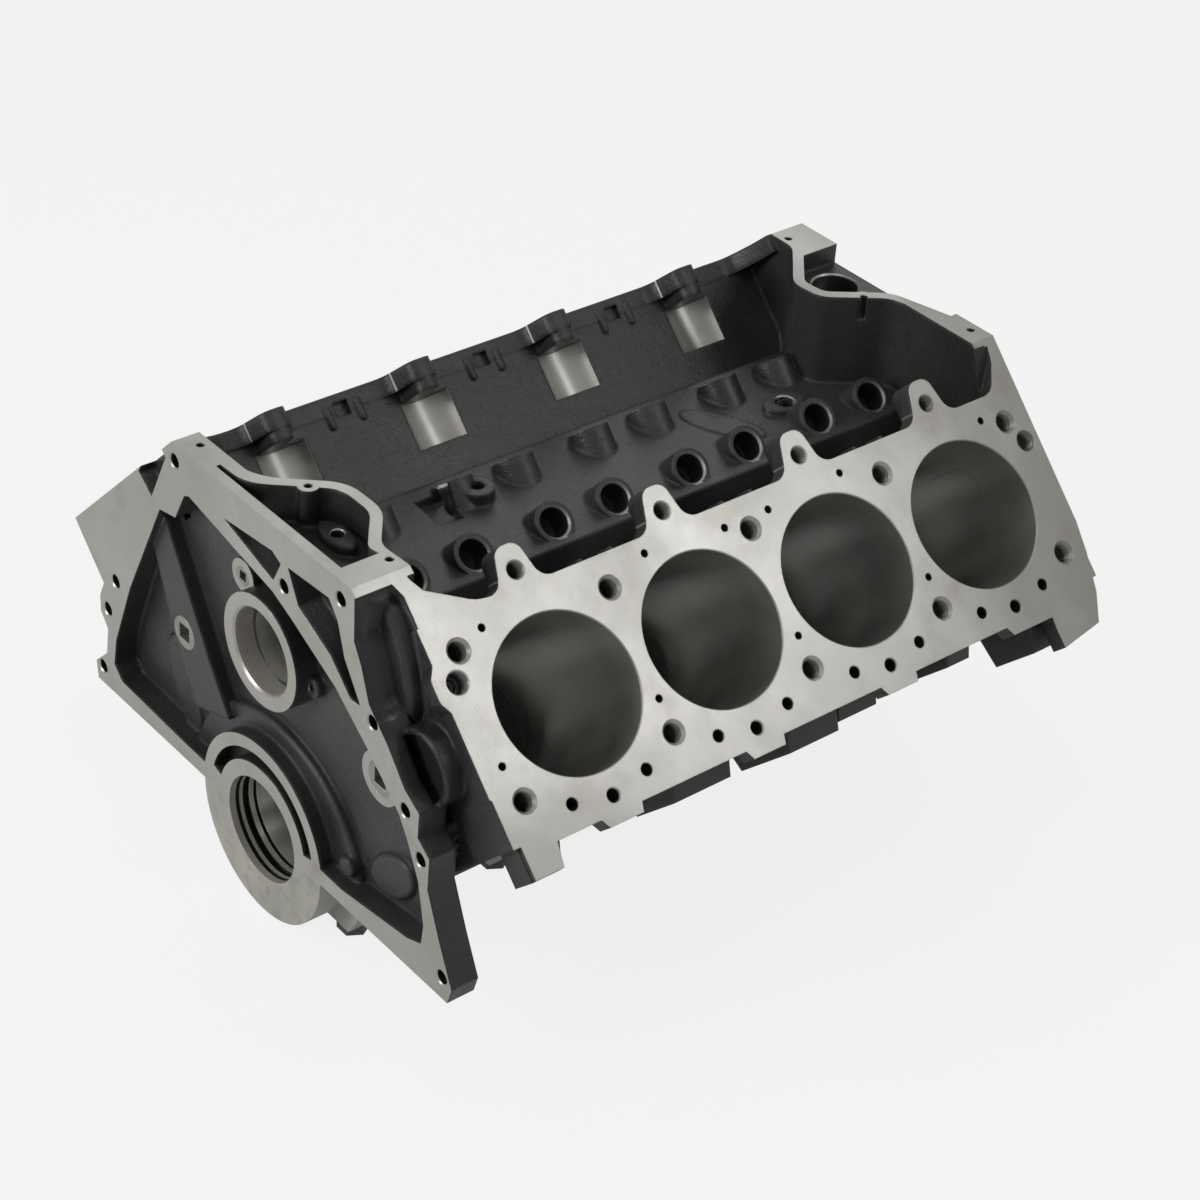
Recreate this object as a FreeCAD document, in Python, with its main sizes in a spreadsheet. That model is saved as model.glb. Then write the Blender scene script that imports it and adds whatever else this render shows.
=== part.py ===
import FreeCAD, Part
import math
import os

from FreeCAD import Placement, Rotation, Vector

# Bare cylinder block of a ninety degree V8 with its main bearing caps, cap bolts,
# gallery plugs and core plugs.
# X points to the near bank, Y runs along the crankshaft from the bell housing face
# to the timing face, Z points up. The origin is where the crankshaft's axis leaves
# the bell housing face. All sizes are millimetres.

SIZES = {
    # cylinder layout
    "bore_pitch": 124.46,
    "bore_diameter": 110.0,
    "deck_height": 261.6,
    "bank_angle": 45,
    "first_bore": 115.2,
    "bank_stagger": 29,
    "block_length": 574,
    "bore_foot": 96,
    # deck plates and bank walls, measured outwards from the plane of the bore axes
    "deck_thickness": 14,
    "deck_inner_edge": 75.5,
    "deck_outer_edge": 83.5,
    "bank_inner_wall": 75,
    "bank_outer_wall": 77,
    "bank_skirt": 150,
    # crankcase
    "pan_rail_half_width": 118,
    "pan_rail_thickness": 13,
    "bay_half_width": 108,
    "web_thickness": 26,
    "rear_main": 38.5,
    "crank_bore_diameter": 81.1,
    # camshaft
    "cam_height": 153.9,
    "cam_bore_diameter": 57,
    "cam_plug_bore_diameter": 63.6,
    "cam_plug_bore_depth": 16,
    # valley
    "valley_floor": 192,
    "rail_height": 266,
    "rail_width": 8.5,
    "shelf_height": 238,
    "front_shelf_height": 250,
    # lifters
    "lifter_angle": 41.5,
    "lifter_reach": 61.4,
    "lifter_bore_diameter": 22.2,
    "lifter_boss_diameter": 31,
    # bell housing face
    "flange_depth": 22,
    "recess_depth": 19,
    "crank_ring_diameter": 146,
    "cam_ring_diameter": 86,
    # fasteners and drilled holes
    "head_bolt_drill": 13.6,
    "cap_bolt_drill": 13.2,
    "cap_bolt_depth": 52,
    # main bearing caps
    "cap_half_width": 80,
    "cap_drop": 58,
    "seal_cap_diameter": 144,
    "cap_bolt_half_spacing": 58,
    "cap_bolt_diameter": 12.7,
    "cap_bolt_head": 21,
    "cap_bolt_head_height": 9,
    # timing face
    "timing_recess_depth": 15,
    "water_port_diameter": 38,
    "distributor_bore_diameter": 35,
    # plugs
    "core_plug_diameter": 44,
    "core_plug_depth": 8,
    "gallery_plug_diameter": 26,
    "small_plug_diameter": 15,
    "plug_length": 13,
    "plug_socket": 12.7,
}

doc = FreeCAD.newDocument("cylinder_block")
sheet = doc.addObject("Spreadsheet::Sheet", "sizes")
for row, (alias, value) in enumerate(SIZES.items(), 1):
    sheet.set("A%d" % row, alias)
    sheet.set("B%d" % row, str(value))
    sheet.setAlias("B%d" % row, alias)
doc.recompute()


def size(alias):
    """The number in the sheet's cell of that name."""
    return float(getattr(sheet, alias))


NEAR = 1
FAR = -1
PITCH = size("bore_pitch")
DECK = size("deck_height")
LENGTH = size("block_length")
STAGGER = size("bank_stagger")
LEAN = math.radians(size("bank_angle"))
CYLINDERS = range(4)
MAINS = [size("rear_main") + k * PITCH for k in range(5)]

# Frames of the machined faces. Local Z leaves the metal, and on a deck local X is
# the distance outwards from the bore axes, turned over on the far bank.
DECKS = {side: Placement(Vector(), Rotation(Vector(0, 1, 0), side * size("bank_angle")))
         for side in (NEAR, FAR)}
REAR = Placement(Vector(), Rotation(Vector(1, 0, 0), 90))
FRONT = Placement(Vector(0, LENGTH, 0), Rotation(Vector(0, 0, 1), 180)).multiply(REAR)
TOP = Placement()
PAN = Placement(Vector(), Rotation(Vector(1, 0, 0), 180))


def bore_y(side, k):
    """Place along the crankshaft of cylinder k of a bank, from the bell housing."""
    shift = 0 if side == NEAR else -STAGGER
    return size("first_bore") + k * PITCH + shift


def on_bank(side, out, height):
    """X and Z of a point at some distance outwards from the bores and above the crank."""
    x = side * (height * math.sin(LEAN) + out * math.cos(LEAN))
    return x, height * math.cos(LEAN) - out * math.sin(LEAN)


def bind(thing, **expressions):
    for name, expression in expressions.items():
        thing.setExpression(name, expression)
    return thing


def cylinder(name, frame, x, y, top, radius, height):
    """A cylinder under the point x, y, top of a frame; radius and height are expressions."""
    thing = doc.addObject("Part::Cylinder", name)
    bind(thing, Radius=radius, Height=height)
    doc.recompute([thing])
    local = Placement(Vector(x, y, top - thing.Height.Value), Rotation())
    thing.Placement = frame.multiply(local)
    return thing


def hole(name, frame, x, y, surface, diameter, depth):
    """A drilled hole from just above a surface; diameter is the name of a size."""
    return cylinder(name, frame, x, y, surface + 1, "sizes.%s / 2" % diameter, "%s + 1" % depth)


def corner(before, here, after, radius):
    """Ends and middle of the arc that rounds a corner."""
    to_before = (before - here).normalize()
    to_after = (after - here).normalize()
    half = to_before.getAngle(to_after) / 2
    reach = min(radius / math.tan(half), 0.49 * (before - here).Length, 0.49 * (after - here).Length)
    radius = reach * math.tan(half)
    middle = (to_before + to_after).normalize() * (radius / math.sin(half) - radius)
    return here + to_before * reach, here + middle, here + to_after * reach


def outline(points):
    """Closed run of lines, with an arc at each point that has a radius."""
    corners = [Vector(p[0], p[1], 0) for p in points]
    radii = [p[2] if len(p) > 2 else 0 for p in points]
    stops = []
    for i, here in enumerate(corners):
        if radii[i]:
            stops.append(corner(corners[i - 1], here, corners[(i + 1) % len(corners)], radii[i]))
        else:
            stops.append((here, None, here))
    edges = []
    for i, (start, middle, end) in enumerate(stops):
        if middle is not None:
            edges.append(Part.Arc(start, middle, end))
        following = stops[(i + 1) % len(stops)][0]
        if (following - end).Length > 1e-4:
            edges.append(Part.LineSegment(end, following))
    return edges


def sketch(name, frame, level, edges):
    drawing = doc.addObject("Sketcher::SketchObject", name)
    drawing.Placement = frame.multiply(Placement(Vector(0, 0, level), Rotation()))
    drawing.addGeometry(edges, False)
    return drawing


def prism(name, frame, edges, low, high):
    """Solid of an outline between two levels of a frame."""
    drawing = sketch(name + "_outline", frame, low, edges)
    thing = doc.addObject("Part::Extrusion", name)
    thing.Base = drawing
    thing.DirMode = "Normal"
    thing.LengthFwd = high - low
    thing.Solid = True
    return thing


def fuse(name, things):
    thing = doc.addObject("Part::MultiFuse", name)
    thing.Shapes = things
    thing.Refine = True
    return thing


def cut(name, base, tool):
    thing = doc.addObject("Part::Cut", name)
    thing.Base = base
    thing.Tool = tool
    thing.Refine = True
    return thing


def common(name, things):
    thing = doc.addObject("Part::MultiCommon", name)
    thing.Shapes = things
    return thing


def mirrored(points, side):
    return [(side * p[0],) + tuple(p[1:]) for p in points]

def offset(points, width):
    """Corners of an open run moved to its left by a width, with their radii."""
    spots = [Vector(x, y, 0) for x, y, r in points]
    moved = []
    for i, here in enumerate(spots):
        run_in = (here - spots[i - 1]).normalize() if i else (spots[1] - here).normalize()
        run_out = (spots[i + 1] - here).normalize() if i + 1 < len(spots) else run_in
        along = (run_in + run_out).normalize()
        reach = width / along.dot(run_in)
        radius = points[i][2]
        if radius:
            radius -= width if run_in.cross(run_out).z > 0 else -width
        moved.append((here.x - along.y * reach, here.y + along.x * reach, radius))
    return moved


def word(side):
    return "near" if side == NEAR else "far"


# Main sections of the casting

def bank_body(side):
    """One bank below its deck plate."""
    inner = -size("bank_inner_wall")
    outer = size("bank_outer_wall")
    skirt = size("bank_skirt")
    section = [
        (inner, DECK), (outer, DECK), (outer, skirt), (outer - 37, skirt - 32), (inner, skirt - 32),
    ]
    points = [on_bank(side, out, height) for out, height in section]
    start = STAGGER + 2 if side == NEAR else 0
    end = LENGTH - 4 if side == NEAR else LENGTH - STAGGER
    return prism("bank_%s" % word(side), REAR, outline(points), -end, -start)


def tab_points(middle):
    """Corners of one deck tab, from the timing end to the bell housing end."""
    inner = -size("deck_inner_edge")
    tip = inner - STAGGER
    return [(middle + 7.5, inner + 6), (middle + 9, tip, 9), (middle - 9, tip, 9), (middle - 9.5, inner + 6)]


def deck_outline(side):
    """The deck plate seen along the bores: u runs along the crankshaft, v outwards."""
    shift = 0 if side == NEAR else -STAGGER
    start = STAGGER
    inner = -size("deck_inner_edge")
    outer = size("deck_outer_edge")
    lug = outer + 7
    tip = inner - STAGGER
    points = []
    # bell housing end, from the rail down to the outer corner
    if side == NEAR:
        points += [(0, tip - 16), (0, tip - 3), (start - 1, tip - 3)]
    else:
        points += [(start, tip - 16), (start, tip - 3)]
    points += [
        (start + 3.5, tip + 7), (start + 3.5, -52), (start - 3.6, -41, 9),
        (start - 3.6, -26, 9), (start + 1, -18), (start + 0.7, 42),
    ]
    if side == NEAR:
        points += [(start + 7.8, 48), (start + 7.8, lug + 10), (start + 31, lug + 10), (start + 34, outer)]
    else:
        points += [(start + 8, 46), (start + 8, 64), (start + 38, 64), (start + 41, outer)]
    # outer edge with a shallow lug at each small bolt
    for k in CYLINDERS:
        bolt = size("first_bore") + k * PITCH
        points += [(bolt - 16, outer), (bolt - 12, lug)]
        points += [(bolt + 16, lug), (bolt + 18, outer)] if k < 3 else [(bolt + 27, lug)]
    end = LENGTH
    points += [
        (end - 59, lug + 8), (end - 59, lug + 24), (end - 20, lug + 18), (end - 10, outer + 4),
        (end - 3, 58), (end, 35), (end, tip - 10), (end - 8, tip - 10),
    ]
    # valley edge: a bay at each end and a tab between neighbouring lifters
    points += [(end - 12, tip + 8), (end - 24, inner, 14)]
    for k in reversed(CYLINDERS):
        middle = size("first_bore") + k * PITCH + 1
        points += [(middle + 16, inner, 12)] + tab_points(middle)[1:3] + [(middle - 18, inner, 12)]
    points += [(start + 50, inner - 3, 25), (start + 18, tip + 8), (start + 12, tip - 2),
               (start + 8, tip - 16)]
    return outline([(side * p[1], p[0] + shift) + tuple(p[2:]) for p in points])


def deck_plate(side):
    return prism("deck_%s" % word(side), DECKS[side], deck_outline(side), DECK - size("deck_thickness"), DECK)


def corner_lug():
    """Deeper lug at the low rear corner of the near deck."""
    points = [(101, 36), (101, 60), (91, 64), (76, 70), (76, 36)]
    return prism("corner_lug", DECKS[NEAR], outline(points), DECK - 27, DECK - 4)


def tab_middles(side):
    """Places along the crankshaft of a deck's tabs."""
    return [bore_y(side, k) + 1 for k in CYLINDERS]


def tab_columns(side):
    """Half-round columns that carry the deck's tabs down to the valley wall."""
    things = []
    for k, middle in enumerate(tab_middles(side), 1):
        points = [(side * p[1], p[0]) + tuple(p[2:]) for p in tab_points(middle)]
        things.append(prism("tab_%s_%d" % (word(side), k), DECKS[side], outline(points), DECK - 23, DECK - 4))
    return things


def crankcase():
    """Middle of the section: valley floor, camshaft tunnel and crankcase walls."""
    rail = size("pan_rail_half_width")
    skirt_x, skirt_z = on_bank(NEAR, size("bank_outer_wall"), size("bank_skirt"))
    half = [(rail, 0), (rail, size("pan_rail_thickness")), (rail - 1, 22), (skirt_x - 6, skirt_z + 4),
            (120, 140), (64, 160), (57, size("valley_floor"))]
    points = half + [(-x, z) for x, z in reversed(half)]
    return prism("crankcase_section", REAR, outline(points), -LENGTH + 12, -12)


def lifter_axis(side, y):
    """Frame whose local Z runs up a lifter bore from the camshaft's axis."""
    turn = Rotation(Vector(0, 1, 0), side * size("lifter_angle"))
    return Placement(Vector(0, y, size("cam_height")), turn)


def lifters():
    """Each cylinder's pair of lifters, as (side, place along the crankshaft)."""
    return [(side, bore_y(side, k) + step)
            for side in (NEAR, FAR) for k in CYLINDERS for step in (-22.0, 32.5)]


def lifter_bosses():
    return [cylinder("lifter_boss_%02d" % n, lifter_axis(side, y), 0, 0, size("lifter_reach"),
                     "sizes.lifter_boss_diameter / 2", "sizes.lifter_reach - 34")
            for n, (side, y) in enumerate(lifters(), 1)]


SENDER_BOSS = (-24, 199)


def sender_boss():
    x, y = SENDER_BOSS
    return cylinder("sender_boss", TOP, x, y, size("valley_floor") + 10, "13", "14")


def floor_openings():
    """Hole of the sender's boss and the cast pocket beside it."""
    floor = size("valley_floor")
    x, y = SENDER_BOSS
    points = [(-44, 158), (-10, 156), (-8, 176), (-42, 182)]
    return [cylinder("sender_hole", TOP, x, y, floor + 11, "5.5", "20"),
            prism("floor_pocket", TOP, outline(points), floor - 8, floor + 20)]


# Lumps of the outer bank walls that carry mounts and brackets: start and end along the
# crankshaft of the near bank, reach outwards from the bore axes, height span above the crank
SIDE_BOSSES = [
    (178, 228, 96, 176, 226), (276, 322, 99, 170, 232), (328, 364, 94, 180, 228),
    (440, 462, 93, 178, 222), (508, 548, 110, 190, 236),
]


def side_bosses(side):
    things = []
    shift = 0 if side == NEAR else -STAGGER
    wall = size("bank_outer_wall") - 4
    for n, (start, end, reach, low, high) in enumerate(SIDE_BOSSES, 1):
        points = [(wall, low - 20), (wall + 6, low - 6), (reach, low), (reach, high), (wall, high + 14)]
        edges = outline([on_bank(side, out, height) for out, height in points])
        things.append(prism("side_boss_%s_%d" % (word(side), n), REAR, edges, -end - shift, -start - shift))
    return things


# Ends of the valley, seen from above: corners of the rail's valley side
REAR_RAIL = [(-108, 18, 0), (-38, 21, 45), (3, 69, 32), (43, 69, 32), (75, 44, 20), (108, 46, 0)]
FRONT_RAIL = [
    (108, 562, 0), (58, 559.5, 50), (21, 548, 20), (-9, 506, 20), (-36, 503, 20), (-79, 541.5, 20),
    (-134, 541.5, 0),
]
RAIL_LUGS = [(-8.5, 45), (8.5, 534)]


def valley_end(name, rail, face_y):
    """Solid between the rail's valley side and the end face."""
    points = rail + [(rail[-1][0], face_y, 0), (rail[0][0], face_y, 0)]
    return prism(name, TOP, outline(points), size("valley_floor") - 40, size("rail_height"))


def shelf_pocket(name, run, face_y, height):
    """Pocket between a rail's wall and face_y, open to the top and down to the shelf."""
    points = run + [(run[-1][0], face_y, 0), (run[0][0], face_y, 0)]
    return prism(name, TOP, outline(points), height, size("rail_height") + 10)


def valley_ends():
    return [valley_end("rear_end", REAR_RAIL, 0), valley_end("front_end", FRONT_RAIL, LENGTH)]


def shelf_pockets():
    rear = offset(REAR_RAIL, -size("rail_width"))
    rear = [(-62, rear[0][1] + 2, 0)] + rear[1:-1] + [(82, rear[-1][1], 0)]
    front = offset(FRONT_RAIL, -size("rail_width"))
    front = [(66, 568.3, 0)] + front[2:-2] + [(-64, 539.2, 0)]
    bore = cylinder("distributor_bore", TOP, -37, LENGTH - 25, size("front_shelf_height") + 1,
                    "sizes.distributor_bore_diameter / 2", "58")
    return [shelf_pocket("rear_pocket", rear, 8, size("shelf_height")),
            shelf_pocket("front_pocket", front, LENGTH + 5, size("front_shelf_height")), bore]


def rail_lugs():
    """Lugs that widen the rails at their middle bolts."""
    return [cylinder("rail_lug_%d" % n, TOP, x, y, size("rail_height"), "7.5",
                     "sizes.rail_height - sizes.shelf_height + 4")
            for n, (x, y) in enumerate(RAIL_LUGS, 1)]


# Bell housing face

FLANGE = [
    (-106, 266), (-148, 222), (-216, 154), (-216, 127), (-198, 128), (-195, 111), (-209, 80),
    (-209, 66), (-200, 55), (-203, 31), (-219, 15), (-217, 0), (217, 0), (221, 14), (206, 46),
    (192, 80), (193, 106), (180, 115), (181, 135), (165, 145), (146, 168), (125, 188), (116, 213),
    (102, 238), (106, 266),
]

RECESS = [
    (-183, 17), (-193, 27), (-189, 51), (-166, 111), (-133, 179), (-122, 202), (-102, 206),
    (-90, 230), (-84, 233), (-35, 223), (16, 213), (39, 203), (88, 179), (128, 149), (160, 121),
    (170, 105), (182, 80), (189, 47), (187, 30), (172, 24), (97, 13), (-97, 14),
]

RAIL_POCKETS = [
    [(-42, 239), (16, 245), (26, 240), (17, 222)],
    [(34, 242), (80, 245), (90, 233), (98, 208), (116, 181), (105, 180), (82, 201), (46, 218)],
]

# Plugs of the bell housing face: name, x, z, depth of the boss's face, size of the plug's diameter
GALLERY_PLUGS = [
    ("gallery_plug_left", -106, 104, 7, "gallery_plug_diameter"),
    ("gallery_plug_right", 129, 127, 7, "gallery_plug_diameter"),
    ("gallery_plug_upper", -36, 191, 11, "small_plug_diameter"),
]


def flange():
    return prism("bell_flange", REAR, outline(FLANGE), -size("flange_depth"), 0)


def flange_recess():
    """Cast recess of the bell housing face, less what stays up to the face or nearly."""
    depth = size("recess_depth")
    floor = prism("recess", REAR, outline(RECESS), -depth, 1)
    slab = [(-150, 176), (-127, 190), (-72, 95), (-50, 62), (-92, 48), (-118, 92)]
    keep = [
        cylinder("crank_ring", REAR, 0, 0, 0, "sizes.crank_ring_diameter / 2", "sizes.recess_depth"),
        cylinder("cam_ring", REAR, 0, size("cam_height"), 0, "sizes.cam_ring_diameter / 2",
                 "sizes.recess_depth"),
        prism("plug_slab", REAR, outline(slab), -depth, -7),
        cylinder("right_plug_boss", REAR, 129, 127, -7, "20", "sizes.recess_depth - 7"),
        cylinder("upper_plug_boss", REAR, -36, 191, -11, "13", "sizes.recess_depth - 11"),
    ]
    things = [cut("recess_round_rings", floor, fuse("rings", keep))]
    for n, points in enumerate(RAIL_POCKETS, 1):
        things.append(prism("rail_pocket_%d" % n, REAR, outline(points), -depth, 1))
    notch = [(-148, 219), (-132, 207), (-112, 249), (-126, 262)]
    things.append(prism("far_notch", REAR, outline(notch), -12, 1))
    return things


def crescent():
    """Cast groove between the two rims of the crankshaft's ring."""
    outer, inner = 63, 53
    start, end = math.radians(13), math.radians(163)
    middle = (start + end) / 2

    def at(radius, angle):
        return Vector(radius * math.cos(angle), radius * math.sin(angle), 0)

    edges = [
        Part.Arc(at(outer, start), at(outer, middle), at(outer, end)),
        Part.LineSegment(at(outer, end), at(inner, end)),
        Part.Arc(at(inner, end), at(inner, middle), at(inner, start)),
        Part.LineSegment(at(inner, start), at(outer, start)),
    ]
    return prism("ring_groove", REAR, edges, -12, 1)


# Timing face

TIMING_HALF = [(118, 0), (124, 70), (150, 112), (154, 150), (122, 222), (106, 266)]
TIMING_RECESS_HALF = [(97, 14), (102, 70), (86, 112), (60, 200), (34, 232)]
WATER_PORTS = [(-122, 160), (122, 160)]


def both_sides(half):
    return half + [(-x, z) for x, z in reversed(half)]


def timing_plate():
    return prism("timing_plate", REAR, outline(both_sides(TIMING_HALF)), -LENGTH, -LENGTH + 22)


def timing_openings():
    depth = size("timing_recess_depth")
    floor = prism("timing_recess", REAR, outline(both_sides(TIMING_RECESS_HALF)), -LENGTH - 1, -LENGTH + depth)
    keep = [
        cylinder("front_crank_ring", FRONT, 0, 0, 0, "sizes.crank_ring_diameter / 2 - 15",
                 "sizes.timing_recess_depth"),
        cylinder("front_cam_ring", FRONT, 0, size("cam_height"), 0, "sizes.cam_ring_diameter / 2",
                 "sizes.timing_recess_depth"),
    ]
    things = [cut("timing_recess_round_rings", floor, fuse("front_rings", keep))]
    for n, (x, z) in enumerate(WATER_PORTS, 1):
        things.append(hole("water_port_%d" % n, FRONT, x, z, 0, "water_port_diameter", 40))
    return things


# Openings and bores of the casting

def crankcase_bays():
    """Space between two main webs for a crank throw, its rods and the camshaft."""
    half_web = size("web_thickness") / 2
    wide = size("bay_half_width")
    cam_z = size("cam_height")
    half = [(wide, -1), (wide, 44), (84, 76), (36, 112), (22, cam_z - 21)]
    return [prism("bay_%d" % (n + 1), REAR, outline(both_sides(half)), -MAINS[n + 1] + half_web,
                  -MAINS[n] - half_web) for n in range(4)]


def cylinder_bores():
    return [cylinder("bore_%s_%d" % (word(side), k + 1), DECKS[side], 0, bore_y(side, k), DECK + 1,
                     "sizes.bore_diameter / 2", "sizes.deck_height - sizes.bore_foot + 1")
            for side in (NEAR, FAR) for k in CYLINDERS]


def line_bores():
    """Crankshaft and camshaft line bores with their steps at the bell housing face."""
    cam_z = size("cam_height")
    return [
        cylinder("main_line_bore", REAR, 0, 0, 1, "sizes.crank_bore_diameter / 2", "sizes.block_length + 2"),
        cylinder("cam_line_bore", REAR, 0, cam_z, 1, "sizes.cam_bore_diameter / 2", "sizes.block_length + 2"),
        cylinder("cam_plug_bore", REAR, 0, cam_z, 1, "sizes.cam_plug_bore_diameter / 2",
                 "sizes.cam_plug_bore_depth + 1"),
    ]


def lifter_bores():
    return [cylinder("lifter_bore_%02d" % n, lifter_axis(side, y), 0, 0, size("lifter_reach") + 1,
                     "sizes.lifter_bore_diameter / 2", "24")
            for n, (side, y) in enumerate(lifters(), 1)]


def head_bolt_spots(side):
    return [(v, bore_y(side, 0) + (k - 0.5) * PITCH) for k in range(5) for v in (-52.4, 51.7)]


def deck_holes(side):
    """Head bolt holes of one deck."""
    return [hole("head_bolt_%s_%d" % (word(side), n), DECKS[side], side * v, y, DECK, "head_bolt_drill", 45)
            for n, (v, y) in enumerate(head_bolt_spots(side), 1)]


def wall_pockets(side):
    """Milled reliefs below the tabs and small square cores between them."""
    wall = -size("bank_inner_wall")
    things = []
    for k, middle in enumerate(tab_middles(side), 1):
        things.append(cylinder("relief_%s_%d" % (word(side), k), DECKS[side], side * (wall - 12), middle + 8,
                               DECK - 23, "24", "36"))
        if k < 4:
            y = middle + PITCH / 2 + 4
            mark = [(wall - 8, y - 6), (wall + 5, y - 6), (wall + 5, y + 6), (wall - 8, y + 6)]
            things.append(prism("core_mark_%s_%d" % (word(side), k), DECKS[side],
                                outline(mirrored(mark, side)), DECK - 17, DECK - 6))
    return things


def main_bolt_spots():
    """Places of the main cap bolts, as a list for each cap."""
    return [[(x, y) for x in (-size("cap_bolt_half_spacing"), size("cap_bolt_half_spacing"))] for y in MAINS]


def core_plug_spots(side):
    """Frames on the outer wall of a bank, local Z outwards, one for each core plug."""
    turn = DECKS[side].multiply(Placement(Vector(), Rotation(Vector(0, 1, 0), side * 90)))
    spots = []
    for k in range(3):
        y = bore_y(side, k) + PITCH / 2 + CORE_PLUG_SHIFT[k]
        x, z = on_bank(side, size("bank_outer_wall"), CORE_PLUG_HEIGHT)
        spots.append(Placement(Vector(x, y, z), turn.Rotation))
    return spots


CORE_PLUG_HEIGHT = 205
CORE_PLUG_SHIFT = [-34, 0, 42]


def blind_holes():
    """Holes of the main cap bolts, the core plugs and the gallery plugs."""
    drilled = []
    for n, spots in enumerate(main_bolt_spots(), 1):
        for m, (x, y) in enumerate(spots, 1):
            drilled.append(hole("cap_bolt_hole_%d_%d" % (n, m), PAN, x, -y, 0, "cap_bolt_drill",
                                size("cap_bolt_depth")))
    for side in (NEAR, FAR):
        for n, frame in enumerate(core_plug_spots(side), 1):
            drilled.append(hole("core_hole_%s_%d" % (word(side), n), frame, 0, 0, 0, "core_plug_diameter",
                                size("core_plug_depth")))
    for name, x, z, face, diameter in GALLERY_PLUGS:
        drilled.append(hole(name + "_hole", REAR, x, z, -face, diameter, size("plug_length")))
    return drilled


def beyond_faces():
    """Trims what stands above the decks and rails and beyond the end faces."""
    things = []
    wide = [(-200, -60), (300, -60), (300, LENGTH + 60), (-200, LENGTH + 60)]
    for side in (NEAR, FAR):
        things.append(prism("above_deck_%s" % word(side), DECKS[side], outline(mirrored(wide, side)),
                            DECK, DECK + 120))
    box = [(-160, -40), (160, -40), (160, LENGTH + 40), (-160, LENGTH + 40)]
    things.append(prism("above_rails", TOP, outline(box), size("rail_height"), size("rail_height") + 60))
    face = [(-320, -60), (320, -60), (320, 320), (-320, 320)]
    things.append(prism("beyond_bell_face", REAR, outline(face), 0, 30))
    return things


def cylinder_block():
    cast = [bank_body(NEAR), bank_body(FAR), deck_plate(NEAR), deck_plate(FAR), crankcase(), flange(),
            timing_plate()]
    cast += tab_columns(NEAR) + tab_columns(FAR) + lifter_bosses() + valley_ends() + [sender_boss(), corner_lug()]
    cast += side_bosses(NEAR) + side_bosses(FAR)
    casting = fuse("casting", cast)
    pockets = cut("pockets_round_lugs", fuse("pockets", shelf_pockets()), fuse("lugs", rail_lugs()))
    machining = crankcase_bays() + cylinder_bores() + line_bores() + lifter_bores() + [pockets]
    machining += deck_holes(NEAR) + deck_holes(FAR) + wall_pockets(NEAR) + wall_pockets(FAR)
    machining += flange_recess() + [crescent()] + timing_openings() + floor_openings() + blind_holes()
    machining += beyond_faces()
    return cut("machined_block", casting, fuse("machining", machining))


# Fitted pieces

def main_cap(n):
    """Bearing cap under one main web; the first one carries half of the rear seal's ring."""
    y = MAINS[n - 1]
    half = size("web_thickness") / 2
    wide = size("cap_half_width")
    drop = -size("cap_drop")
    points = [(-wide, 0), (wide, 0), (wide, drop + 16), (wide - 10, drop), (-wide + 10, drop),
              (-wide, drop + 16)]
    solid = prism("cap_section_%d" % n, REAR, outline(points), -y - half, -y + half)
    tools = [cylinder("cap_bore_%d" % n, REAR, 0, 0, 1, "sizes.crank_bore_diameter / 2",
                      "sizes.block_length + 2")]
    if n == 1:
        radius = size("seal_cap_diameter") / 2
        edges = [Part.Arc(Vector(-radius, 0, 0), Vector(0, -radius, 0), Vector(radius, 0, 0)),
                 Part.LineSegment(Vector(radius, 0, 0), Vector(-radius, 0, 0))]
        solid = fuse("rear_cap_solid", [solid, prism("seal_half_ring", REAR, edges, -y + half, 0)])
    for m, (x, y) in enumerate(main_bolt_spots()[n - 1], 1):
        tools.append(hole("cap_hole_%d_%d" % (n, m), PAN, x, -y, size("cap_drop"), "cap_bolt_drill",
                          size("cap_drop") + 1))
    return cut("cap_%d" % n, solid, fuse("cap_tools_%d" % n, tools))


def main_bolts(n):
    """The two bolts of one cap: hexagon heads on the cap, shanks in the block."""
    things = []
    drop = size("cap_drop")
    radius = size("cap_bolt_head") / 2 / math.cos(math.pi / 6)
    for m, (x, y) in enumerate(main_bolt_spots()[n - 1], 1):
        head = [(x + radius * math.cos(k * math.pi / 3), -y + radius * math.sin(k * math.pi / 3))
                for k in range(6)]
        head = prism("bolt_head_%d_%d" % (n, m), PAN, outline(head), drop, drop + size("cap_bolt_head_height"))
        shank = cylinder("bolt_shank_%d_%d" % (n, m), PAN, x, -y, drop + 1, "sizes.cap_bolt_diameter / 2",
                         "sizes.cap_drop + sizes.cap_bolt_depth - 4")
        things.append(fuse("bolt_%d_%d" % (n, m), [head, shank]))
    return fuse("bolts_%d" % n, things)


def gallery_plug(name, x, z, face, diameter):
    """Screwed plug flush with its boss, with a square socket."""
    body = cylinder(name + "_body", REAR, x, z, -face, "sizes.%s / 2" % diameter, "sizes.plug_length")
    half = size("plug_socket") / 2 * size(diameter) / size("gallery_plug_diameter")
    square = [(x - half, z - half), (x + half, z - half), (x + half, z + half), (x - half, z + half)]
    socket = prism(name + "_socket", REAR, outline(square), -face - 0.7 * size("plug_length"), -face + 1)
    return cut(name + "_plug", body, socket)


def core_plug(name, frame):
    """Plug pressed into a core opening, a little below the wall."""
    return cylinder(name + "_disc", frame, 0, 0, -2, "sizes.core_plug_diameter / 2", "sizes.core_plug_depth - 2")


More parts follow.
